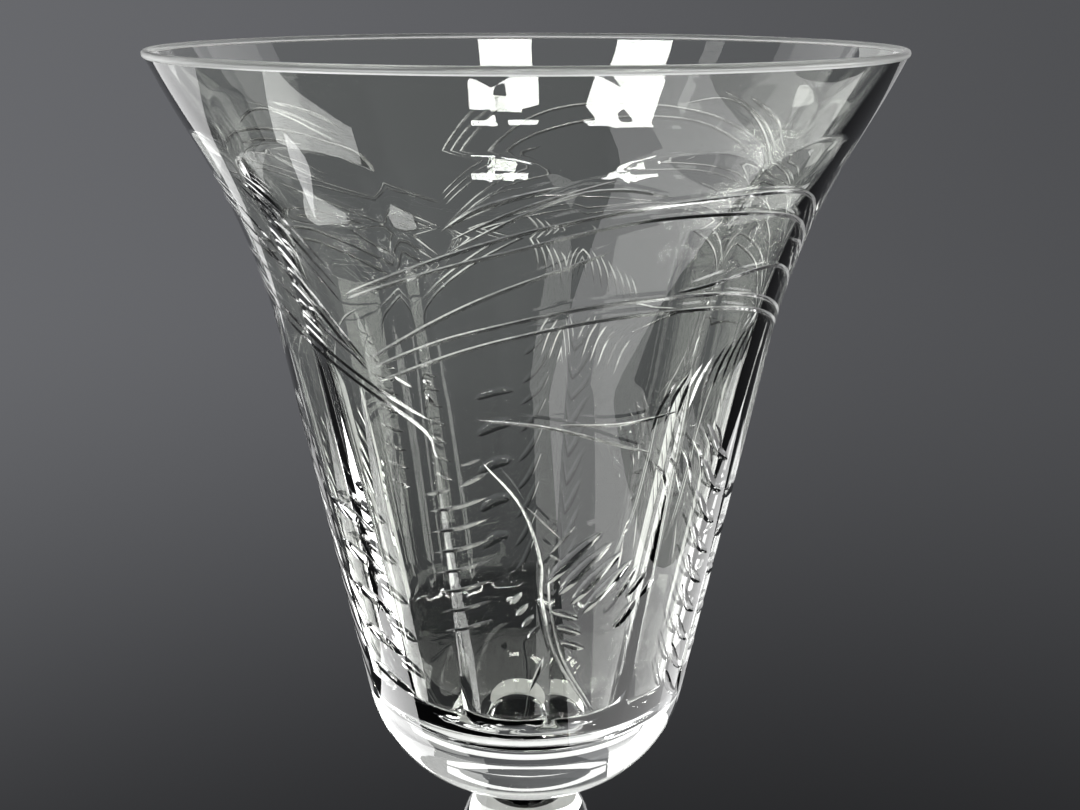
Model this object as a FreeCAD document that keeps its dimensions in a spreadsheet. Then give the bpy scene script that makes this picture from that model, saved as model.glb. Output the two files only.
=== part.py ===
import FreeCAD, Part

import math
import os

import Sketcher

# A cut-glass wine glass in five fused gathers: bowl, knop, stem, wafer and foot.
# Millimetres, +Z up along the glass's axis, origin at the centre of the face it stands on.
DIMENSIONS = {
    # Outside of the bowl, from the rim down to the button that is fused to the knop.
    "rim_height": 171.7,
    "rim_radius": 41.8,
    "lip_height": 163.5,
    "lip_radius": 37.7,
    "lip_curve": 89.6,
    "waist_height": 140.2,
    "waist_radius": 29.3,
    "waist_curve": 79.0,
    "heel_height": 92.3,
    "heel_radius": 20.7,
    "base_height": 80.8,
    "base_radius": 12.3,
    "base_curve": 15.9,
    "button_height": 78.4,
    "button_radius": 7.4,
    "button_curve": 5.0,
    # Wall of the bowl, measured level, and the inside of its thick base.
    "rim_wall": 1.0,
    "rim_curve": 0.55,
    "lip_wall": 1.3,
    "waist_wall": 1.7,
    "heel_wall": 2.9,
    "corner_height": 97.3,
    "corner_curve": 8.6,
    "floor_radius": 11.0,
    "floor_height": 90.4,
    "floor_middle_height": 89.6,
    # One of the hollow panels down the inside of the bowl, turned about an axis of its own.
    "panel_offset": 9.4,
    "panel_top_height": 165.2,
    "panel_top_radius": 27.9,
    "panel_shoulder_height": 157.0,
    "panel_shoulder_radius": 24.05,
    "panel_shoulder_curve": 60.0,
    "panel_waist_depth": 0.55,
    "panel_heel_depth": 0.65,
    "panel_foot_height": 91.6,
    # Knop: a ball with a flat at each end.
    "knop_top_height": 74.4,
    "knop_top_radius": 5.4,
    "knop_bottom_height": 60.0,
    "knop_bottom_radius": 5.0,
    # Stem: thinnest at its waist.
    "stem_waist_height": 40.0,
    "stem_waist_radius": 4.0,
    "stem_top_curve": 200.5,
    "stem_foot_curve": 224.8,
    "stem_foot_radius": 5.8,
    # Wafer between the stem and the foot.
    "wafer_top_height": 11.6,
    "wafer_bottom_height": 8.6,
    "wafer_radius": 7.4,
    "wafer_curve": 1.52,
    # Foot: a thin disc, hollow underneath, on a ground ring.
    "foot_slope_height": 4.4,
    "foot_slope_radius": 17.0,
    "foot_top_curve": 21.0,
    "foot_slope_curve": 160.0,
    "foot_radius": 35.0,
    "foot_edge_high": 2.4,
    "foot_edge_low": 0.6,
    "foot_edge_curve": 1.0,
    "ring_outer_radius": 34.2,
    "ring_inner_radius": 29.0,
    "ground_level": 0.0,
    "hollow_height": 1.6,
}
PANEL_COUNT = 12
BOWL_TURN = -7.0
BULGE_OUT = -1
BULGE_IN = 1


def make_sheet(document):
    """Puts every driving dimension in a cell that carries its name."""
    sheet = document.addObject("Spreadsheet::Sheet", "Dimensions")
    for row, (alias, value) in enumerate(DIMENSIONS.items(), start=1):
        sheet.set(f"A{row}", alias)
        sheet.set(f"B{row}", str(value))
        sheet.setAlias(f"B{row}", alias)
    document.recompute()


def value_of(terms):
    """The sum of the dimensions named in terms, where -name takes one away."""
    signed = [(-1, term[1:]) if term.startswith("-") else (1, term) for term in terms.split()]
    return sum(sign * DIMENSIONS[name] for sign, name in signed)


def expression_of(terms):
    """The same sum as an expression on the sheet."""
    parts = [f"- Dimensions.{term[1:]}" if term.startswith("-") else f"+ Dimensions.{term}" for term in terms.split()]
    return " ".join(parts).removeprefix("+ ")


def origin_feature(body, role):
    """The body's own origin plane or axis with this role."""
    return next(feature for feature in body.Origin.OriginFeatures if feature.Role == role)


def new_sketch(body, name):
    """An upright sketch: its own X is the glass's X, and its own Y is height."""
    sketch = body.newObject("Sketcher::SketchObject", name)
    sketch.AttachmentSupport = [(origin_feature(body, "XZ_Plane"), "")]
    sketch.MapMode = "FlatFace"
    return sketch


def arc_between(start, end, radius, side):
    """The short arc from start to end, swelling to the left of the way there (side 1) or the right (-1)."""
    chord = end - start
    across = FreeCAD.Vector(-chord.y, chord.x, 0).normalize()
    reach = math.sqrt(radius**2 - (chord.Length / 2) ** 2)
    centre = start + chord / 2 - across * side * reach
    first, last = (end, start) if side == BULGE_IN else (start, end)
    angles = [math.atan2((point - centre).y, (point - centre).x) for point in (first, last)]
    if angles[1] < angles[0]:
        angles[1] += 2 * math.pi
    circle = Part.Circle(centre, FreeCAD.Vector(0, 0, 1), radius)
    return Part.ArcOfCircle(circle, angles[0], angles[1])


def centred_radius(start, end):
    """The radius of the arc through both points whose centre is on the axis."""
    centre_height = (end.x**2 + end.y**2 - start.x**2 - start.y**2) / (2 * (end.y - start.y))
    return math.hypot(start.x, start.y - centre_height)


def bind(sketch, constraint, terms):
    """Adds a constraint and ties its value to the sheet."""
    index = sketch.addConstraint(constraint)
    sketch.setExpression(f"Constraints[{index}]", expression_of(terms))


def draw_outline(sketch, stations):
    """Draws a closed outline through stations, each (across, up, curve) in named dimensions.

    An empty across puts the station on the sketch's vertical axis. The curve says how the outline
    reaches the station: None for a straight line, or (radius name, side) for an arc. An arc with no
    radius name has its centre on the axis, so it turns into part of a ball.
    """
    points = [FreeCAD.Vector(value_of(across), value_of(up), 0) for across, up, curve in stations]
    ends = []
    for number, (across, up, curve) in enumerate(stations):
        start = points[number - 1]
        end = points[number]
        if curve is None:
            edge = sketch.addGeometry(Part.LineSegment(start, end), False)
            ends.append((edge, 1, 2))
        else:
            radius_name, side = curve
            radius = DIMENSIONS[radius_name] if radius_name else centred_radius(start, end)
            edge = sketch.addGeometry(arc_between(start, end, radius, side), False)
            ends.append((edge, 2, 1) if side == BULGE_IN else (edge, 1, 2))
            if radius_name:
                bind(sketch, Sketcher.Constraint("Radius", edge, radius), radius_name)
            else:
                sketch.addConstraint(Sketcher.Constraint("PointOnObject", edge, 3, -2))
    for number, (across, up, curve) in enumerate(stations):
        edge, _, last = ends[number]
        next_edge, first, _ = ends[(number + 1) % len(stations)]
        sketch.addConstraint(Sketcher.Constraint("Coincident", edge, last, next_edge, first))
        if across:
            bind(sketch, Sketcher.Constraint("DistanceX", -1, 1, edge, last, points[number].x), across)
        else:
            sketch.addConstraint(Sketcher.Constraint("PointOnObject", edge, last, -2))
        bind(sketch, Sketcher.Constraint("DistanceY", -1, 1, edge, last, points[number].y), up)


def turned_body(document, label, stations):
    """A body turned about the glass's axis from a closed outline."""
    body = document.addObject("PartDesign::Body", label)
    body.Label = label
    sketch = new_sketch(body, f"{label}_outline")
    draw_outline(sketch, stations)
    turning = body.newObject("PartDesign::Revolution", f"{label}_turning")
    turning.Profile = sketch
    turning.ReferenceAxis = (sketch, ["V_Axis"])
    turning.Angle = 360
    document.recompute()
    return body


def cut_panels(document, body):
    """Hollows one panel out of the inside of the wall and repeats it round the axis."""
    sketch = new_sketch(body, "panel_outline")
    sketch.setExpression(".AttachmentOffset.Base.x", "Dimensions.panel_offset")
    document.recompute()
    draw_outline(
        sketch,
        [
            ("", "panel_foot_height", None),
            ("heel_radius -heel_wall -panel_offset panel_heel_depth", "corner_height", ("", BULGE_OUT)),
            ("waist_radius -waist_wall -panel_offset panel_waist_depth", "waist_height", None),
            ("panel_shoulder_radius", "panel_shoulder_height", ("waist_curve", BULGE_IN)),
            ("panel_top_radius", "panel_top_height", ("panel_shoulder_curve", BULGE_OUT)),
            ("", "panel_top_height", None),
        ],
    )
    document.recompute()
    scoop = body.newObject("PartDesign::Groove", "panel_scoop")
    scoop.Profile = sketch
    scoop.ReferenceAxis = (sketch, ["V_Axis"])
    scoop.Angle = 360
    document.recompute()
    ring = body.newObject("PartDesign::PolarPattern", "panel_ring")
    ring.Originals = [scoop]
    ring.Axis = (origin_feature(body, "Z_Axis"), [""])
    ring.Angle = 360
    ring.Occurrences = PANEL_COUNT
    body.Tip = ring
    document.recompute()


def make_bowl(document):
    """The bowl: a turned wall with a rounded rim, a thick base and a row of panels inside."""
    bowl = turned_body(
        document,
        "bowl",
        [
            ("", "knop_top_height", None),
            ("knop_top_radius", "knop_top_height", None),
            ("button_radius", "button_height", ("button_curve", BULGE_IN)),
            ("base_radius", "base_height", None),
            ("heel_radius", "heel_height", ("base_curve", BULGE_OUT)),
            ("waist_radius", "waist_height", None),
            ("lip_radius", "lip_height", ("waist_curve", BULGE_IN)),
            ("rim_radius", "rim_height", ("lip_curve", BULGE_OUT)),
            ("rim_radius -rim_wall", "rim_height", ("rim_curve", BULGE_OUT)),
            ("lip_radius -lip_wall", "lip_height", ("lip_curve", BULGE_IN)),
            ("waist_radius -waist_wall", "waist_height", ("waist_curve", BULGE_OUT)),
            ("heel_radius -heel_wall", "corner_height", None),
            ("floor_radius", "floor_height", ("corner_curve", BULGE_IN)),
            ("", "floor_middle_height", ("", BULGE_IN)),
        ],
    )
    cut_panels(document, bowl)
    bowl.Placement = FreeCAD.Placement(FreeCAD.Vector(), FreeCAD.Rotation(FreeCAD.Vector(0, 0, 1), BOWL_TURN))
    return bowl


def make_knop(document):
    """The ball under the bowl."""
    return turned_body(
        document,
        "knop",
        [
            ("", "knop_bottom_height", None),
            ("knop_bottom_radius", "knop_bottom_height", None),
            ("knop_top_radius", "knop_top_height", ("", BULGE_OUT)),
            ("", "knop_top_height", None),
        ],
    )


def make_stem(document):
    """The drawn stem."""
    return turned_body(
        document,
        "stem",
        [
            ("", "wafer_top_height", None),
            ("stem_foot_radius", "wafer_top_height", None),
            ("stem_waist_radius", "stem_waist_height", ("stem_foot_curve", BULGE_IN)),
            ("knop_bottom_radius", "knop_bottom_height", ("stem_top_curve", BULGE_IN)),
            ("", "knop_bottom_height", None),
        ],
    )


def make_wafer(document):
    """The round-edged wafer that joins the stem to the foot."""
    return turned_body(
        document,
        "foot_wafer",
        [
            ("", "wafer_bottom_height", None),
            ("wafer_radius", "wafer_bottom_height", None),
            ("wafer_radius", "wafer_top_height", ("wafer_curve", BULGE_OUT)),
            ("", "wafer_top_height", None),
        ],
    )


def make_foot(document):
    """The foot: a disc that rises to the wafer, hollow underneath, on a flat ring."""
    return turned_body(
        document,
        "foot",
        [
            ("", "hollow_height", None),
            ("ring_inner_radius", "ground_level", ("", BULGE_IN)),
            ("ring_outer_radius", "ground_level", None),
            ("foot_radius", "foot_edge_low", None),
            ("foot_radius", "foot_edge_high", ("foot_edge_curve", BULGE_OUT)),
            ("foot_slope_radius", "foot_slope_height", ("foot_slope_curve", BULGE_IN)),
            ("wafer_radius", "wafer_bottom_height", ("foot_top_curve", BULGE_IN)),
            ("", "wafer_bottom_height", None),
        ],
    )


def check_document(document):
    """Stops if any object of the document has failed."""
    for item in document.Objects:
        if "Invalid" in item.State or "Error" in item.State:
            raise RuntimeError(f"{item.Name} failed: {item.State}")


def check_body(body):
    """Stops unless the sub-part is one valid solid."""
    shape = body.Shape
    if shape.isNull() or not shape.isValid() or len(shape.Solids) != 1:
        raise RuntimeError(f"{body.Label} isn't one valid solid")


def main():
    document = FreeCAD.newDocument("wine_glass")
    make_sheet(document)
    bodies = [
        make_bowl(document),
        make_knop(document),
        make_stem(document),
        make_wafer(document),
        make_foot(document),
    ]
    document.recompute()
    check_document(document)
    for body in bodies:
        check_body(body)
    os.makedirs("parts", exist_ok=True)
    for body in bodies:
        body.Shape.exportStep(f"parts/{body.Label}.step")
        print(body.Label, round(body.Shape.Volume, 1), "mm3", body.Shape.BoundBox)


main()
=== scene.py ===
import math

import bmesh
import bpy
import numpy as np
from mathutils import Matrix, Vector
from mathutils.geometry import delaunay_2d_cdt


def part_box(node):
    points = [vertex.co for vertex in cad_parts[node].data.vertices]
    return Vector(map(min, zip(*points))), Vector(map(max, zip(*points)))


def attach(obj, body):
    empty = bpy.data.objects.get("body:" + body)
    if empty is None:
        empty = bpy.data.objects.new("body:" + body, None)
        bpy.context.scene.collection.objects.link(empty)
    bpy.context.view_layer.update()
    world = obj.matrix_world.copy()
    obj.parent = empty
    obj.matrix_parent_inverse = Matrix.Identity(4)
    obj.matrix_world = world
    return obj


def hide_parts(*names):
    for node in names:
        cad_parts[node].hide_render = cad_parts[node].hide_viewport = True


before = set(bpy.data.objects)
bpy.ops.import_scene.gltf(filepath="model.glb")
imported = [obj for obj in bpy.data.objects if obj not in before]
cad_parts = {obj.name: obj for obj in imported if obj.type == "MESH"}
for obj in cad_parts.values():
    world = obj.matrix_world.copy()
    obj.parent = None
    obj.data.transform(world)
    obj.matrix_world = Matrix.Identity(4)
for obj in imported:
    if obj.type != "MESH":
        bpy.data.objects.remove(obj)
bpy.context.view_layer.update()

# A cut-glass wine glass: five fused gathers of clear glass, each a closed mesh of its own.
# Outlines are in millimetres, as (distance from the glass's axis, height), and meshes in metres.
# Azimuths are in degrees round the axis from the side that faces the camera, rising to its right.
MM = 0.001

BOWL_LOW, BOWL_HIGH = (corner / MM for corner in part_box("bowl"))
KNOP_LOW, KNOP_HIGH = (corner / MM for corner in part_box("knop"))
STEM_LOW, STEM_HIGH = (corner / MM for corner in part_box("stem"))
WAFER_LOW, WAFER_HIGH = (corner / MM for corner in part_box("foot_wafer"))
FOOT_LOW, FOOT_HIGH = (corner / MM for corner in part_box("foot"))

BODY = "root"


# ---------------------------------------------------------------- outlines


def arc_points(start, end, radius, step=0.5):
    """Points after start, up to end, of an arc. It swells to the left of the way if radius is over 0."""
    start, end = np.array(start, float), np.array(end, float)
    chord = end - start
    length = np.hypot(*chord)
    if radius is None:
        count = max(1, round(length / step))
        return [start + chord * k / count for k in range(1, count + 1)]
    across = np.array([-chord[1], chord[0]]) / length
    reach = math.sqrt(radius**2 - (length / 2) ** 2)
    centre = (start + end) / 2 - across * math.copysign(reach, radius)
    first = math.atan2(*(start - centre)[::-1])
    turn = -math.copysign(2 * math.asin(length / 2 / abs(radius)), radius)
    count = max(2, math.ceil(abs(turn * radius) / step))
    spokes = [first + turn * k / count for k in range(1, count + 1)]
    return [centre + abs(radius) * np.array([math.cos(spoke), math.sin(spoke)]) for spoke in spokes]


def outline(stations, step=0.25):
    """The points of an outline through stations, each (radius, height, curve of the way to it)."""
    points = [np.array(stations[0][:2], float)]
    for before, (radius, height, curve) in zip(stations, stations[1:]):
        points += arc_points(before[:2], (radius, height), curve, step)
    return np.array(points)


def lengths_along(points):
    """How far along a line each of its points is."""
    return np.r_[0, np.cumsum(np.linalg.norm(np.diff(points, axis=0), axis=1))]


def evenly(points, step):
    """The same line with its points a step apart."""
    lengths = lengths_along(points)
    count = max(2, round(lengths[-1] / step))
    places = np.linspace(0, lengths[-1], count + 1)
    return np.column_stack([np.interp(places, lengths, column) for column in points.T])


def softened(points, passes):
    """The line with its corners rounded a little, and its ends kept."""
    points = points.copy()
    for _ in range(passes):
        points[1:-1] = points[1:-1] / 2 + (points[:-2] + points[2:]) / 4
    return points


def smooth_line(places, parts=10):
    """A smooth line through places, as a Catmull-Rom spline."""
    places = np.array(places, float)
    before = np.vstack([2 * places[0] - places[1], places[:-2]])
    after = np.vstack([places[2:], 2 * places[-1] - places[-2]])
    line = []
    for first, second, earlier, later in zip(places[:-1], places[1:], before, after):
        for t in np.arange(parts) / parts:
            slope = (second - earlier) * t
            bend = (2 * earlier - 5 * first + 4 * second - later) * t**2
            twist = (3 * first - earlier - 3 * second + later) * t**3
            line.append(first + (slope + bend + twist) / 2)
    line.append(places[-1])
    return np.array(line)


# ---------------------------------------------------------------- the bowl's two surfaces

# Heights where the bowl's outline changes curve.
LIP, WAIST = 163.5, 140.2
BEAD_RADIUS = 0.43
BEAD_STEP = 0.12
BUTTON_RADIUS = 5.4


def bead_point(angle):
    """A point on the fire-polished rim's round bead, by its angle above the outward level."""
    turn = math.radians(angle)
    return BOWL_HIGH.x + BEAD_RADIUS * (math.cos(turn) - 1), BOWL_HIGH.z + BEAD_RADIUS * (math.sin(turn) - 1)


RIM = [
    (*bead_point(-75), None),
    (*bead_point(90), -BEAD_RADIUS),
    (*bead_point(200), -BEAD_RADIUS),
]
OUTSIDE = [
    RIM[0],
    (37.7, LIP, 89.6),
    (29.3, WAIST, -79.0),
    (20.7, 92.3, None),
    (12.3, 80.8, 15.9),
    (7.4, 78.4, None),
    (BUTTON_RADIUS, BOWL_LOW.z, -5.0),
]
INSIDE = [
    RIM[-1],
    (36.4, LIP, 89.6),
    (27.6, WAIST, -79.0),
    (17.8, 97.3, None),
    (11.0, 90.4, 8.6),
    (0.0, 89.6, 76.0),
]
WALL_STEP = 0.5
outer = softened(evenly(outline(OUTSIDE), WALL_STEP), 12)
inner = softened(evenly(outline(INSIDE), WALL_STEP), 8)
outer_reach = lengths_along(outer)

# The panels are scoops about an axis beside the glass's own, each a radius at a height.
PANEL_COUNT = 12
PANEL_RIDGE = 8.0
PANEL_OFFSET = 9.4
PANEL_FOOT, PANEL_HEEL, PANEL_SHOULDER, PANEL_TOP = 91.6, 97.3, 157.0, 165.2
HEEL_SCOOP, WAIST_SCOOP, SHOULDER_SCOOP, TOP_SCOOP = 9.05, 18.75, 24.05, 27.9
SCOOP_DIP = 1.8
SCOOP_SWELL = 0.68


def direction(azimuth):
    """The level unit vector that points at an azimuth."""
    turn = np.radians(np.asarray(azimuth, float) - 90)
    return np.stack([np.cos(turn), np.sin(turn)], -1)


def reach_at(height):
    """How far down the bowl's outline from the rim a height is."""
    return np.interp(-np.asarray(height), -outer[:, 1], outer_reach)


def outer_radius(reach):
    return np.interp(reach, outer_reach, outer[:, 0])


def outer_point(azimuth, reach):
    """Points on the bowl's outside, in millimetres."""
    height = np.interp(reach, outer_reach, outer[:, 1])
    return np.concatenate([direction(azimuth) * outer_radius(reach)[..., None], height[..., None]], -1)


def outer_normal(azimuth, reach):
    """The outward unit normals of the bowl's outside."""
    slope = np.gradient(outer, outer_reach, axis=0)
    across = np.interp(reach, outer_reach, -slope[:, 1])
    up = np.interp(reach, outer_reach, slope[:, 0])
    size = np.hypot(across, up)
    return np.concatenate([direction(azimuth) * (across / size)[..., None], (up / size)[..., None]], -1)


def panel_scoop(height):
    """The radius of a panel's scoop at a height, or nothing above and below the panels."""
    heights = [PANEL_HEEL, WAIST, PANEL_SHOULDER, PANEL_TOP]
    scoop = np.interp(height, heights, [HEEL_SCOOP, WAIST_SCOOP, SHOULDER_SCOOP, TOP_SCOOP])
    rise = PANEL_HEEL - PANEL_FOOT
    ball = (HEEL_SCOOP**2 + rise**2) / (2 * rise)
    low = np.sqrt(np.clip(ball**2 - (height - PANEL_FOOT - ball) ** 2, 0, None))
    scoop = np.where(height < PANEL_HEEL, low, scoop)
    dip = np.clip((height - WAIST) / (PANEL_SHOULDER - WAIST), 0, 1)
    swell = np.clip((height - PANEL_SHOULDER) / (PANEL_TOP - PANEL_SHOULDER), 0, 1)
    scoop = scoop - SCOOP_DIP * dip * (1 - dip) + SCOOP_SWELL * swell * (1 - swell)
    return np.where((height > PANEL_TOP) | (height < PANEL_FOOT), 0, scoop)


def inner_radius(azimuth, radius, height):
    """The bowl's inside with its panels hollowed out, at an azimuth and a plain radius and height."""
    spread = 360 / PANEL_COUNT
    turn = np.radians((azimuth - PANEL_RIDGE) % spread - spread / 2)
    inside = panel_scoop(height) ** 2 - (PANEL_OFFSET * np.sin(turn)) ** 2
    reach = PANEL_OFFSET * np.cos(turn) + np.sqrt(np.clip(inside, 0, None))
    return np.maximum(radius, np.where(inside > 0, reach, 0))


# ---------------------------------------------------------------- the wheel-cut pattern

REPEATS = 3
REPEAT_ANGLE = 360.0 / REPEATS
LINE_WIDTH = 0.24
STROKE_WIDTH = 0.27
LINE_TAPER = 5.0
MITRE_SLOPE = 0.72
HOLLOW_SLOPE = 0.34
CUT_STEP = 1.1
SEARCH_MARGIN = 2.0


class Cut:
    """One wheel cut: a course on the bowl's outside, as (azimuth, reach), and its half width there.

    A mitre cut is a V with a ground finish. A hollow cut is round and polished, such as an olive.
    """

    def __init__(self, places, width, taper=None, hollow=False):
        line = smooth_line(places)
        course = np.column_stack([line[:, 0], reach_at(line[:, 1])])
        lengths = lengths_along(outer_point(course[:, 0], course[:, 1]))
        count = max(6, round(lengths[-1] / CUT_STEP))
        stops = np.linspace(0, lengths[-1], count + 1)
        share = np.clip(np.minimum(stops, lengths[-1] - stops) / (taper or lengths[-1] / 2), 0, 1)
        self.hollow = hollow
        self.course = np.column_stack([np.interp(stops, lengths, column) for column in course.T])
        self.width = width * np.sqrt(1 - (1 - share) ** 2)

    def rows(self):
        """Lines along the cut, from one edge through the middle to the other."""
        radius = outer_radius(self.course[:, 1])
        level = np.gradient(np.radians(self.course[:, 0])) * radius
        down = np.gradient(self.course[:, 1])
        size = np.hypot(level, down)
        side = np.column_stack([np.degrees(-down / size / radius), level / size])
        made = []
        for offset in (-1, -0.5, 0, 0.5, 1) if self.hollow else (-1, 0, 1):
            row = self.course + side * (self.width * offset)[:, None]
            row[0], row[-1] = self.course[0], self.course[-1]
            made.append(row)
        return made

    def depth_at(self, points, shift):
        """Which points the cut reaches when it is turned by shift degrees, and how deep it goes there."""
        spine = outer_point(self.course[:, 0] + shift, self.course[:, 1])
        inside = (points > spine.min(0) - SEARCH_MARGIN) & (points < spine.max(0) + SEARCH_MARGIN)
        near = np.nonzero(inside.all(1))[0]
        start, step = spine[:-1], np.diff(spine, axis=0)
        away = points[near, None] - start[None]
        share = np.clip((away * step).sum(2) / (step**2).sum(1), 0, 1)
        distance = np.linalg.norm(away - share[..., None] * step[None], axis=2)
        width = self.width[:-1] + share * np.diff(self.width)
        across = distance / np.maximum(width, 1e-6)
        profile = HOLLOW_SLOPE * (1 - across**2) if self.hollow else MITRE_SLOPE * (1 - across)
        return near, (np.clip(profile, 0, 1) * width).max(1)


def thin_line(places, width=LINE_WIDTH):
    return Cut(places, width, LINE_TAPER)


def stroke(*places, width=STROKE_WIDTH):
    return Cut(places, width)


def leaf(*places, width):
    return Cut(places, width, hollow=True)


def swags():
    """Garlands of long lines that run from one spray to the next, each an azimuth and a height."""
    cuts = [
        thin_line([(-34, 149.5), (0, 157), (30, 159.5), (60, 157), (87, 142)]),
        thin_line([(-34, 149), (-6, 154.5), (24, 158), (60, 154.5), (87, 141)]),
        thin_line([(-32, 141.5), (-10, 146.5), (18, 149.5), (52, 147.5), (100, 136.5)]),
        thin_line([(-31, 140), (-6, 145.5), (20, 148), (52, 146), (95, 136.5), (101, 132)]),
        thin_line([(-32, 142.5), (-8, 150), (14, 155)]),
        thin_line([(27, 150), (56, 150.5), (86, 142)]),
        thin_line([(56, 153.5), (68, 151), (87, 141.5)], 0.2),
        thin_line([(-13, 157), (-6, 159.5), (5, 161.5)], 0.3),
        thin_line([(-12, 156), (0, 159.5), (13, 162)], 0.2),
        thin_line([(-12, 155), (4, 160), (13, 161), (22, 160)], 0.2),
    ]
    for lift in (0.0, 1.6, 3.1):
        cuts.append(thin_line([(66, 158.8 + lift / 2), (74, 154.6 + lift), (84, 148.4 + lift)], 0.2))
    return cuts


def comb():
    """The left side of the middle fern: level strokes one over another."""
    cuts = []
    for row in range(7):
        height = 125.5 - 2.6 * row
        cuts.append(stroke((-22.5, height), (-15.5, height + 1), (-8.5, height + 2.5)))
    cuts.append(stroke((-23, 127.5), (-17, 128.5)))
    cuts.append(stroke((-14.5, 129), (-8, 131)))
    cuts.append(stroke((-14, 131.5), (-9.5, 132.5), width=0.18))
    for row in range(4):
        azimuth = -4.0 + 1.5 * row
        height = 114.5 - 1.5 * row
        cuts.append(stroke((azimuth, height), (azimuth + 3, height + 1.7), width=0.36))
    return cuts


def sprig():
    """The middle fern's stem, its branches and two long thin leaves."""
    stem = [(-9, 132), (-1, 127), (3.5, 120), (4, 115), (8.5, 107), (19, 99)]
    return [
        thin_line(stem, 0.17),
        thin_line([(azimuth + 2, height - 0.5) for azimuth, height in stem[2:]], 0.14),
        stroke((5, 107.5), (4, 106), (1, 102.5)),
        stroke((0, 127), (8, 123), width=0.16),
        stroke((5.5, 121), (11.5, 124.5), width=0.18),
        stroke((5.5, 121), (8.5, 120), width=0.18),
        thin_line([(-9.5, 137), (6, 136), (28.5, 132)], 0.2),
        thin_line([(6.5, 136.5), (20, 136), (34, 136.5)], 0.2),
        stroke((-27, 141), (-23, 140), width=0.2),
        stroke((-20.5, 141), (-18.5, 140.5), width=0.3),
        stroke((-20.5, 139.5), (-18.5, 138.5), width=0.3),
    ]


def fern_leaves():
    """The right side of the middle fern: broad polished leaves and olives."""
    cuts = []
    for row in range(4):
        start = (4.5 + 3.4 * row, 117 - 1.4 * row)
        end = (18 + 3 * row, 123.5 - 1.5 * row)
        cuts.append(leaf(start, ((start[0] + end[0]) / 2, (start[1] + end[1]) / 2 + 0.4), end, width=0.8))
    cuts.append(leaf((23.5, 114), (28.5, 118), width=0.5))
    cuts.append(leaf((26.5, 114), (32, 117), width=0.5))
    cuts.append(leaf((24, 110), (30, 113.5), width=0.75))
    cuts.append(leaf((31, 113.5), (35, 116), width=0.5))
    for row in range(3):
        start = (6.5 + 1.2 * row, 113.7 - 2.1 * row)
        cuts.append(leaf(start, (start[0] + 7.3, start[1] - 1.5), width=0.6))
    return cuts


def plume():
    """A feathered spray to the right of the fern, with strokes up and down from its rib."""
    cuts = []
    for row in range(9):
        azimuth = 27 + 3.1 * row
        height = 134.4 + 0.7 * row
        cuts.append(stroke((azimuth, height), (azimuth + 1.6, height + 3), (azimuth + 4.8, height + 5.6)))
    for row in range(6):
        azimuth = 28.6 + 3.6 * row
        height = 131 + 0.5 * row
        cuts.append(stroke((azimuth, height), (azimuth + 3.6, height - 2), (azimuth + 6.4, height - 5.4)))
    return cuts


def side_leaves():
    """Polished leaves between two sprays: short ones that rise to the left, broad level ones on the right."""
    cuts = []
    for row in range(9):
        height = 127.5 - 4.1 * row
        start = 57.5 + 0.5 * row
        cuts.append(leaf((start, height), (start - 7, height + 2.3), (start - 14, height + 6.4), width=0.62))
    for row in range(5):
        height = 121.6 - 5.4 * row
        start = 60 + 0.9 * row
        end = start + 20
        cuts.append(leaf((start, height + 0.8), (start + 10, height + 0.4), (end, height - 0.8), width=0.95))
    return cuts


def pattern():
    """Every cut of one repeat of the pattern."""
    return swags() + comb() + sprig() + fern_leaves() + plume() + side_leaves()


# ---------------------------------------------------------------- the decorated skin

SEAM = -54.5
COLUMNS = 288
DECORATED = 85.0
DECORATED_ROWS = 62
CLEARANCE = 0.35
MIDDLE_RADIUS = 28.0
SEAM_MARGIN = 2.0
SHALLOWEST_EDGE, SHALLOWEST_CUT = 0.004, 0.002
PLAIN, OUTSIDE_FACE, MITRE_FACE, HOLLOW_FACE, JOINT_FACE, RIM_FACE = range(6)


def clip_row(row, low, high):
    """The stretches of a row between two azimuths, cut exactly at them."""
    stretches = []
    current = []
    for first, second in zip(row[:-1], row[1:]):
        if max(first[0], second[0]) <= low or min(first[0], second[0]) >= high:
            continue
        current = current or [clip_end(first, second, low, high)]
        current.append(clip_end(second, first, low, high))
        if not low <= second[0] <= high:
            stretches.append(current)
            current = []
    if current:
        stretches.append(current)
    return stretches


def clip_end(point, other, low, high):
    """The point, or where the way to the other one enters the span of azimuths."""
    if low <= point[0] <= high or point[0] == other[0]:
        return point
    edge = low if point[0] < low else high
    share = (edge - point[0]) / (other[0] - point[0])
    return np.array([edge, point[1] + share * (other[1] - point[1])])


def deepest(points, cuts):
    """The depth of the deepest cut at points on the bowl's outside, and whether that cut is hollow."""
    depth = np.zeros(len(points))
    hollow = np.zeros(len(points), bool)
    for cut in cuts:
        for shift in (-REPEAT_ANGLE, 0.0, REPEAT_ANGLE):
            near, here = cut.depth_at(points, shift)
            deeper = here > depth[near]
            depth[near[deeper]] = here[deeper]
            hollow[near[deeper]] = cut.hollow
    return depth, hollow


def away_from_cuts(places, spines):
    """Which places are clear of every cut."""
    points = outer_point(places[:, 0], places[:, 1])
    clear = np.ones(len(points), bool)
    for course, width in spines:
        spine = evenly(outer_point(course[:, 0], course[:, 1]), CUT_STEP / 3)
        inside = (points > spine.min(0) - SEARCH_MARGIN) & (points < spine.max(0) + SEARCH_MARGIN)
        near = np.nonzero(inside.all(1))[0]
        distance = np.linalg.norm(points[near, None] - spine[None], axis=2)
        if len(near):
            clear[near[distance.min(1) < width.max() + CLEARANCE]] = False
    return clear


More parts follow.
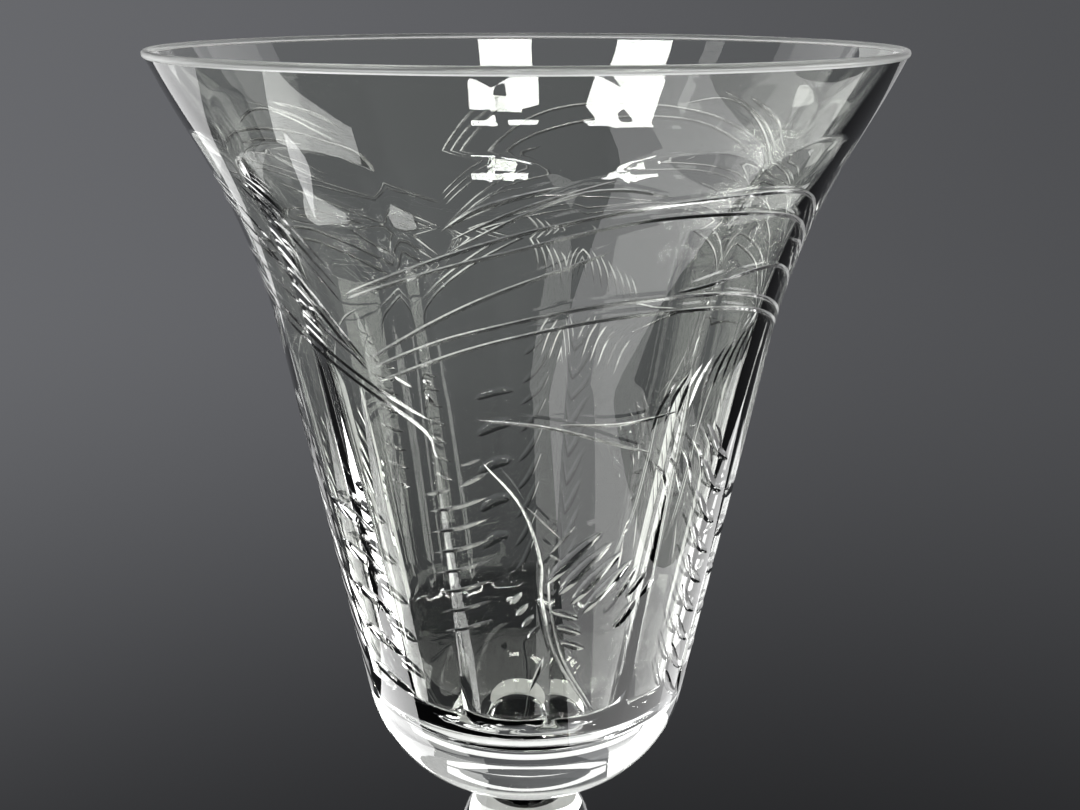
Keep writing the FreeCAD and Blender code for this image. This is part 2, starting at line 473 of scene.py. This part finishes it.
def outer_sector(cuts):
    """One repeat of the decorated outside, triangulated so that every cut has its own edges.

    Gives points (azimuth, reach), their depths, triangles, and each triangle's mark.
    """
    high = SEAM + REPEAT_ANGLE
    columns = np.linspace(SEAM, high, COLUMNS // REPEATS + 1)
    rows = np.linspace(0, DECORATED, DECORATED_ROWS)
    grid = np.array([(azimuth, reach) for reach in rows for azimuth in columns])
    chains = []
    spines = []
    for cut in cuts:
        for shift in (-REPEAT_ANGLE, 0.0, REPEAT_ANGLE):
            moved = [row + [shift, 0] for row in cut.rows()]
            azimuths = moved[0][:, 0]
            if azimuths.max() > SEAM - SEAM_MARGIN and azimuths.min() < high + SEAM_MARGIN:
                chains += [stretch for row in moved for stretch in clip_row(row, SEAM, high)]
                spines.append((cut.course + [shift, 0], cut.width))
    border = (grid[:, 0] == SEAM) | (grid[:, 0] == high) | (grid[:, 1] == 0) | (grid[:, 1] == DECORATED)
    grid = grid[border | away_from_cuts(grid, spines)]
    points, faces, background = triangulated(grid, chains)
    depth = np.zeros(len(points))
    depth[~background] = deepest(outer_point(*points[~background].T), cuts)[0]
    marks = np.full(len(faces), OUTSIDE_FACE)
    likely = np.nonzero(depth[faces].max(1) > SHALLOWEST_EDGE)[0]
    centres = points[faces[likely]].mean(1)
    centre_depth, hollow = deepest(outer_point(*centres.T), cuts)
    cut_marks = np.where(hollow, HOLLOW_FACE, MITRE_FACE)
    marks[likely] = np.where(centre_depth > SHALLOWEST_CUT, cut_marks, OUTSIDE_FACE)
    return points, depth, faces, marks


def triangulated(grid, chains):
    """Triangles through the grid's places and along the chains, and which points are only the grid's."""
    places = list(grid)
    edges = []
    for chain in chains:
        first = len(places)
        places += chain
        edges += [(first + k, first + k + 1) for k in range(len(chain) - 1)]
    scale = np.array([math.radians(1) * MIDDLE_RADIUS, 1.0])
    flat = [Vector(place) for place in np.array(places) * scale]
    made, _, faces, origins, _, _ = delaunay_2d_cdt(flat, edges, [], 0, 1e-4)
    points = np.array([tuple(point) for point in made]) / scale
    background = np.array([bool(origin) and min(origin) < len(grid) for origin in origins])
    return points, np.array(faces), background


# ---------------------------------------------------------------- meshes


MERGE_DISTANCE = 1e-6
BOWL_CREASE, LATHE_CREASE = math.radians(24), math.radians(35)


class Skin:
    """The points and faces of a closed skin in millimetres, with a mark on each face."""

    def __init__(self):
        self.points, self.faces, self.marks = [], [], []

    def add_faces(self, points, faces, marks):
        first = len(self.points)
        self.points += list(points)
        self.faces += [tuple(first + corner for corner in face) for face in faces]
        self.marks += list(marks)

    def add_rings(self, rings, mark):
        """Joins each ring of points to the next with quads."""
        count = len(rings[0])
        faces = []
        for ring in range(len(rings) - 1):
            low, high = ring * count, (ring + 1) * count
            for k in range(count):
                following = (k + 1) % count
                faces.append((low + k, low + following, high + following, high + k))
        self.add_faces(np.concatenate(rings), faces, [mark] * len(faces))

    def add_disc(self, ring, mark):
        """Closes a level ring with triangles that meet on the glass's axis."""
        count = len(ring)
        centre = np.array([0, 0, ring[0][2]])
        faces = [(k, (k + 1) % count, count) for k in range(count)]
        self.add_faces(np.vstack([ring, centre]), faces, [mark] * count)

    def make_object(self, name, materials):
        """A smooth mesh in metres. materials gives each mark's material."""
        mesh = bpy.data.meshes.new(name)
        mesh.from_pydata([tuple(point) for point in np.array(self.points) * MM], [], self.faces)
        used = sorted(set(materials.values()), key=lambda material: material.name)
        for material in used:
            mesh.materials.append(material)
        slots = [used.index(materials[mark]) for mark in self.marks]
        mesh.polygons.foreach_set("material_index", np.array(slots, np.int32))
        mesh.attributes.new("mark", "INT", "FACE").data.foreach_set("value", np.array(self.marks, np.int32))
        shape = bmesh.new()
        shape.from_mesh(mesh)
        bmesh.ops.remove_doubles(shape, verts=shape.verts, dist=MERGE_DISTANCE)
        bmesh.ops.recalc_face_normals(shape, faces=shape.faces)
        for face in shape.faces:
            face.smooth = True
        shape.to_mesh(mesh)
        shape.free()
        piece = bpy.data.objects.new(name, mesh)
        bpy.context.scene.collection.objects.link(piece)
        return piece


def ring_points(azimuths, radius, height):
    """A level ring of points. The radius may change with the azimuth."""
    radius = np.broadcast_to(radius, azimuths.shape)
    return np.column_stack([direction(azimuths) * radius[:, None], np.full(len(azimuths), height)])


def read_all(collection, field, kind, width=1):
    """One field of every item of a mesh's collection, as an array."""
    values = np.zeros(len(collection) * width, kind)
    collection.foreach_get(field, values)
    return values.reshape(-1, width) if width > 1 else values


def set_bowl_normals(mesh):
    """Gives the plain outside its exact normals, so that thin triangles beside the cuts don't show."""
    mesh.set_sharp_from_angle(angle=BOWL_CREASE)
    normals = read_all(mesh.corner_normals, "vector", np.float32, 3)
    corners = read_all(mesh.loops, "vertex_index", np.int32)
    places = read_all(mesh.vertices, "co", np.float32, 3)[corners] / MM
    marks = read_all(mesh.attributes["mark"].data, "value", np.int32)
    outside = np.repeat(marks, read_all(mesh.polygons, "loop_total", np.int32)) == OUTSIDE_FACE
    azimuth = np.degrees(np.arctan2(places[:, 1], places[:, 0])) + 90
    normals[outside] = outer_normal(azimuth, reach_at(places[:, 2]))[outside]
    mesh.normals_split_custom_set(normals.tolist())


# ---------------------------------------------------------------- the five gathers


def bowl_outside(skin, azimuths):
    """The decorated sectors, and the plain rings of the thick base under them."""
    points, depth, faces, marks = outer_sector(pattern())
    for repeat in range(REPEATS):
        azimuth = points[:, 0] + repeat * REPEAT_ANGLE
        inward = outer_normal(azimuth, points[:, 1]) * depth[:, None]
        skin.add_faces(outer_point(azimuth, points[:, 1]) - inward, faces, marks)
    lower = [DECORATED] + [reach for reach in outer_reach if reach > DECORATED + CLEARANCE]
    rings = [outer_point(azimuths, np.full(COLUMNS, reach)) for reach in lower]
    skin.add_rings(rings, PLAIN)
    skin.add_disc(rings[-1], JOINT_FACE)


def bowl_inside(skin, azimuths):
    """The fire-polished rim, and the panelled inside down to its floor."""
    bead = [ring_points(azimuths, radius, height) for radius, height in outline(RIM, BEAD_STEP)]
    skin.add_rings(bead, RIM_FACE)
    rings = [bead[-1]]
    for radius, height in inner[1:-1]:
        rings.append(ring_points(azimuths, inner_radius(azimuths, radius, height), height))
    skin.add_rings(rings, PLAIN)
    skin.add_disc(rings[-1], PLAIN)


def make_bowl(glass, cut_glass, rim_glass, joint):
    skin = Skin()
    azimuths = SEAM + np.arange(COLUMNS) * 360.0 / COLUMNS
    bowl_outside(skin, azimuths)
    bowl_inside(skin, azimuths)
    materials = {
        PLAIN: glass,
        OUTSIDE_FACE: glass,
        HOLLOW_FACE: glass,
        MITRE_FACE: cut_glass,
        RIM_FACE: rim_glass,
        JOINT_FACE: joint,
    }
    bowl = skin.make_object("bowl_glass", materials)
    set_bowl_normals(bowl.data)
    return bowl


def lathe(name, stations, glass, joint, columns=128, step=0.35):
    """A closed turned piece whose two level ends are joints to its neighbours."""
    skin = Skin()
    azimuths = np.arange(columns) * 360.0 / columns
    line = evenly(outline(stations, 0.1), step)
    rings = [ring_points(azimuths, radius, height) for radius, height in line]
    skin.add_rings(rings, PLAIN)
    skin.add_disc(rings[0], JOINT_FACE)
    skin.add_disc(rings[-1], JOINT_FACE)
    piece = skin.make_object(name, {PLAIN: glass, JOINT_FACE: joint})
    piece.data.set_sharp_from_angle(angle=LATHE_CREASE)
    return piece


KNOP_NECK = 5.0
KNOP_CENTRE = 67.344
STEM_WAIST_RADIUS, STEM_WAIST_HEIGHT = 4.0, 40.0
STEM_FLARE = 5.8
WAFER_RADIUS = 7.4
WAFER_CURVE = 1.52
FOOT_EDGE = 35.0
RING_OUTER, RING_INNER = 34.2, 29.0


def make_knop(glass, joint):
    ball = -math.hypot(KNOP_NECK, KNOP_CENTRE - KNOP_LOW.z)
    stations = [(KNOP_NECK, KNOP_LOW.z, None), (BUTTON_RADIUS, KNOP_HIGH.z, ball)]
    return lathe("knop_glass", stations, glass, joint)


def make_stem(glass, joint):
    """A drawn stem: two long hollow curves that meet at its waist."""
    stations = [
        (STEM_FLARE, STEM_LOW.z, None),
        (STEM_WAIST_RADIUS, STEM_WAIST_HEIGHT, 224.8),
        (KNOP_NECK, STEM_HIGH.z, 200.5),
    ]
    return lathe("stem_glass", stations, glass, joint, columns=96, step=0.8)


def make_wafer(glass, joint):
    """A wafer with a round edge, closed above by the level face round the stem's end."""
    stations = [
        (WAFER_RADIUS, WAFER_LOW.z, None),
        (WAFER_RADIUS, WAFER_HIGH.z, -WAFER_CURVE),
        (STEM_FLARE, WAFER_HIGH.z, None),
    ]
    return lathe("wafer_glass", stations, glass, joint, columns=96, step=0.2)


def make_foot(glass, joint):
    """A foot that slopes to its edge, stands on a ground ring and is slightly hollow inside the ring."""
    stations = [
        (WAFER_RADIUS, FOOT_HIGH.z, None),
        (17.0, 4.4, -21.0),
        (FOOT_EDGE, 2.4, -160.0),
        (FOOT_EDGE, 0.6, 1.0),
        (RING_OUTER, FOOT_LOW.z, None),
        (RING_INNER, FOOT_LOW.z, None),
        (0.3, 1.6, -263.0),
    ]
    return lathe("foot_glass", stations, glass, joint, columns=160, step=0.4)


# ---------------------------------------------------------------- materials


GLASS_IOR, NO_BENDING = 1.52, 1.0
GLASS_TINT = (0.965, 0.98, 0.945)
POLISHED, GROUND, SATIN = 0.0, 0.22, 0.35
BUMP_HEIGHT = 0.00004
DRAWN_OUT = (1, 1, 0.35)


def glass_material(name, roughness, ior=GLASS_IOR, tint=GLASS_TINT):
    material = bpy.data.materials.new(name)
    material.use_nodes = True
    shader = material.node_tree.nodes["Principled BSDF"]
    shader.inputs["Base Color"].default_value = (*tint, 1)
    shader.inputs["Transmission Weight"].default_value = 1
    shader.inputs["Roughness"].default_value = roughness
    shader.inputs["IOR"].default_value = ior
    return material


def add_bump(material, scale, stretch=(1, 1, 1)):
    """Uneven glass, whose bumps are about 1 / scale metres across."""
    nodes, links = material.node_tree.nodes, material.node_tree.links
    place = nodes.new("ShaderNodeTexCoord")
    mapping = nodes.new("ShaderNodeMapping")
    mapping.inputs["Scale"].default_value = stretch
    noise = nodes.new("ShaderNodeTexNoise")
    noise.inputs["Scale"].default_value = scale
    noise.inputs["Detail"].default_value = 2
    bump = nodes.new("ShaderNodeBump")
    bump.inputs["Distance"].default_value = BUMP_HEIGHT
    links.new(place.outputs["Object"], mapping.inputs["Vector"])
    links.new(mapping.outputs["Vector"], noise.inputs["Vector"])
    links.new(noise.outputs["Fac"], bump.inputs["Height"])
    links.new(bump.outputs["Normal"], nodes["Principled BSDF"].inputs["Normal"])


# ---------------------------------------------------------------- stage, light and camera

STAND_RADIUS = 70.0
STAND_THICKNESS = 6.0
STAND_COLUMNS = 128
STAND_COLOUR = (0.62, 0.62, 0.6, 1)
STAND_ROUGHNESS = 0.7


def make_stand():
    """A small round pale floor."""
    count = STAND_COLUMNS
    azimuths = np.arange(count) * 360.0 / count
    top = ring_points(azimuths, STAND_RADIUS, 0.0)
    bottom = ring_points(azimuths, STAND_RADIUS, -STAND_THICKNESS)
    sides = [(k, (k + 1) % count, count + (k + 1) % count, count + k) for k in range(count)]
    faces = [tuple(range(count)), tuple(range(2 * count - 1, count - 1, -1))] + sides
    mesh = bpy.data.meshes.new("stand")
    mesh.from_pydata([tuple(point) for point in np.vstack([top, bottom]) * MM], [], faces)
    material = bpy.data.materials.new("pale_floor")
    material.use_nodes = True
    shader = material.node_tree.nodes["Principled BSDF"]
    shader.inputs["Base Color"].default_value = STAND_COLOUR
    shader.inputs["Roughness"].default_value = STAND_ROUGHNESS
    mesh.materials.append(material)
    stand = bpy.data.objects.new("stand", mesh)
    bpy.context.scene.collection.objects.link(stand)


LIGHT_TARGET = Vector((0, 0, 0.13))
LIGHT_DISTANCE = 0.7


def add_light(name, azimuth, elevation, size, brightness):
    """A soft light that faces the bowl. Its size is the width and height in degrees that the bowl sees."""
    lamp = bpy.data.lights.new(name, "AREA")
    lamp.shape = "RECTANGLE"
    lamp.size, lamp.size_y = (2 * LIGHT_DISTANCE * math.tan(math.radians(angle / 2)) for angle in size)
    lamp.energy = brightness * math.pi * lamp.size * lamp.size_y
    light = bpy.data.objects.new(name, lamp)
    level = direction(azimuth) * math.cos(math.radians(elevation))
    way = Vector((*level, math.sin(math.radians(elevation))))
    light.location = LIGHT_TARGET + way * LIGHT_DISTANCE
    light.rotation_euler = (-way).to_track_quat("-Z", "Y").to_euler()
    light.visible_camera = False
    bpy.context.scene.collection.objects.link(light)


# Each light's name, azimuth, elevation, width and height in degrees, and brightness.
LIGHTS = [
    ("window_a", 9, 46, (16, 9), 26),
    ("window_b", -51, 44, (17, 9), 25),
    ("window_c", -80, 38, (6, 5), 2.5),
    ("behind_left", -152, -30, (14, 14), 0.8),
    ("behind_right", 150, -30, (15, 14), 0.9),
    ("behind_top", 180, 9, (70, 6), 1.1),
    ("low_left", -124, -50, (45, 20), 4.2),
    ("low_right", 75, -50, (105, 20), 2.0),
    ("low_back_right", 135, -48, (25, 20), 1.0),
    ("side_left", -122, 0, (44, 40), 1.5),
    ("side_right", 92, -9, (26, 24), 3.8),
    ("side_back_right", 128, 6, (70, 26), 0.4),
    ("above_back", 180, 44, (110, 36), 1.0),
]


def light_scene():
    for name, azimuth, elevation, size, brightness in LIGHTS:
        add_light(name, azimuth, elevation, size, brightness)


BACKDROP_HUE = (0.97, 0.99, 1.06, 1)
LEFT_BRIGHTNESS, RIGHT_BRIGHTNESS = 0.152, 0.074
LOW_SHARE = 0.16


def map_range(nodes, low, high, to_low, to_high):
    """A node that goes smoothly from one value to another."""
    made = nodes.new("ShaderNodeMapRange")
    made.interpolation_type = "SMOOTHSTEP"
    names = ("From Min", "From Max", "To Min", "To Max")
    for name, value in zip(names, (low, high, to_low, to_high)):
        made.inputs[name].default_value = value
    return made


def make_world():
    """A plain charcoal backdrop all round, darker low down and on the right."""
    world = bpy.data.worlds.new("studio")
    world.use_nodes = True
    nodes, links = world.node_tree.nodes, world.node_tree.links
    place = nodes.new("ShaderNodeTexCoord")
    parts = nodes.new("ShaderNodeSeparateXYZ")
    links.new(place.outputs["Generated"], parts.inputs["Vector"])
    upward = map_range(nodes, -0.68, -0.2, LOW_SHARE, 1.0)
    sideways = map_range(nodes, -0.7, 0.7, LEFT_BRIGHTNESS, RIGHT_BRIGHTNESS)
    links.new(parts.outputs["Z"], upward.inputs["Value"])
    links.new(parts.outputs["X"], sideways.inputs["Value"])
    brightness = nodes.new("ShaderNodeMath")
    brightness.operation = "MULTIPLY"
    links.new(upward.outputs["Result"], brightness.inputs[0])
    links.new(sideways.outputs["Result"], brightness.inputs[1])
    background = nodes["Background"]
    background.inputs["Color"].default_value = BACKDROP_HUE
    links.new(brightness.outputs["Value"], background.inputs["Strength"])
    bpy.context.scene.world = world


CAMERA_DISTANCE = 147.0
CAMERA_RISE = 5.88
CAMERA_PITCH = 18.33
CAMERA_LENS = 41.77
CAMERA_SHIFT = 0.013


def make_camera():
    """A close camera just above the rim that looks down into the bowl."""
    data = bpy.data.cameras.new("camera")
    data.sensor_width = 36
    data.lens = CAMERA_LENS
    data.shift_x = CAMERA_SHIFT
    data.clip_start = 0.001
    camera = bpy.data.objects.new("camera", data)
    camera.location = Vector((0, -CAMERA_DISTANCE, BOWL_HIGH.z + CAMERA_RISE)) * MM
    camera.rotation_euler = (math.radians(90 - CAMERA_PITCH), 0, 0)
    bpy.context.scene.collection.objects.link(camera)
    bpy.context.scene.camera = camera


# ---------------------------------------------------------------- everything together


def make_pieces():
    """Each CAD node's glass, by the node's name."""
    glass = glass_material("clear_glass_polished", POLISHED)
    cut_glass = glass_material("clear_glass_cut", GROUND)
    rim_glass = glass_material("clear_glass_rim", SATIN)
    joint = glass_material("fused_joint", POLISHED, NO_BENDING, (1, 1, 1))
    add_bump(glass, 70, DRAWN_OUT)
    add_bump(cut_glass, 1400)
    add_bump(rim_glass, 70, DRAWN_OUT)
    return {
        "bowl": make_bowl(glass, cut_glass, rim_glass, joint),
        "knop": make_knop(glass, joint),
        "stem": make_stem(glass, joint),
        "foot_wafer": make_wafer(glass, joint),
        "foot": make_foot(glass, joint),
    }


BOUNCES = 32


def set_rendering():
    """Enough bounces for glass behind glass, unclipped highlights, and a plain response to light."""
    scene = bpy.context.scene
    scene.cycles.max_bounces = BOUNCES
    scene.cycles.transmission_bounces = BOUNCES
    scene.cycles.sample_clamp_indirect = 0
    scene.view_settings.view_transform = "Standard"


def main():
    make_camera()
    for node, piece in make_pieces().items():
        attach(piece, BODY)
        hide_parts(node)
    make_stand()
    make_world()
    light_scene()
    set_rendering()


main()
